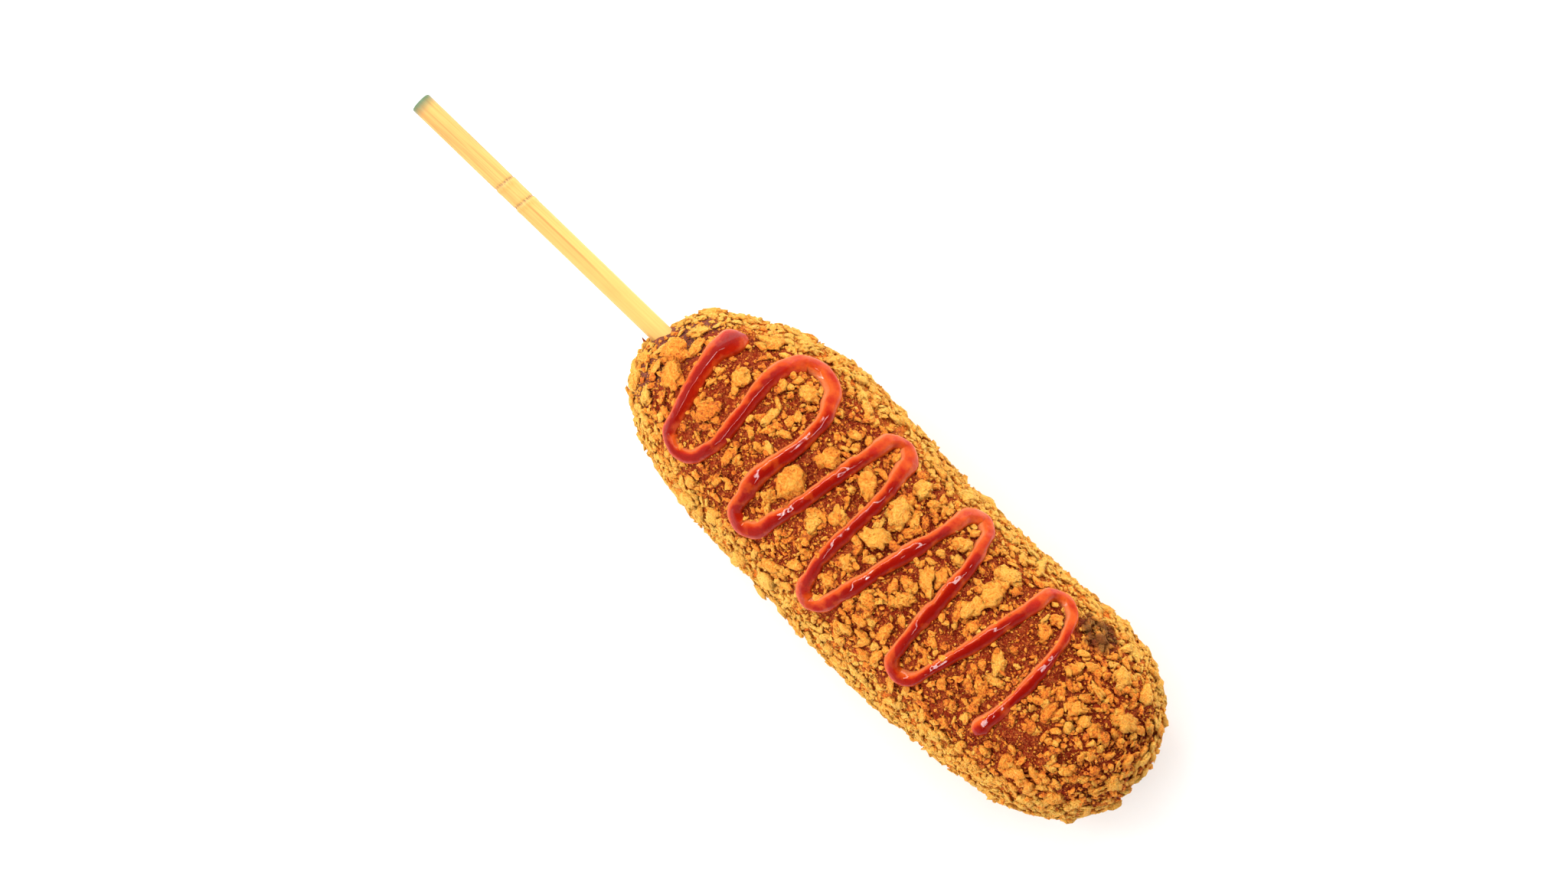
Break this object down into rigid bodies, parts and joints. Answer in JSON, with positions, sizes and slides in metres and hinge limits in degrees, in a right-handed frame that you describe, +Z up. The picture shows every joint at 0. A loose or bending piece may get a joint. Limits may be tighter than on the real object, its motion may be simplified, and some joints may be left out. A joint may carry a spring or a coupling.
{
  "type": "corn dog",
  "caption": "Crumbed, deep-fried corn dog on a bamboo stick, topped with a zigzag of ketchup, lying on its side.",
  "frame": {"origin": "on the surface that the food lies on, below the middle of the overall box", "axes": "+X from the stick's free end to the food's rounded tip, +Y across the food, +Z up out of the surface it lies on, with the ketchup on top"},
  "size_m": [0.221, 0.0536, 0.0477],
  "materials": {
    "fried_crumb": "golden fried breadcrumb flakes, rough and jagged",
    "batter_skin": "dark red-brown fried batter, glossy with oil",
    "ketchup": "wet tomato ketchup, glossy",
    "bamboo": "split bamboo, satin, one end dyed green"
  },
  "bodies": {
    "root": {"breaded_body": "fried_crumb", "bamboo_stick": "bamboo"}
  },
  "joints": []
}
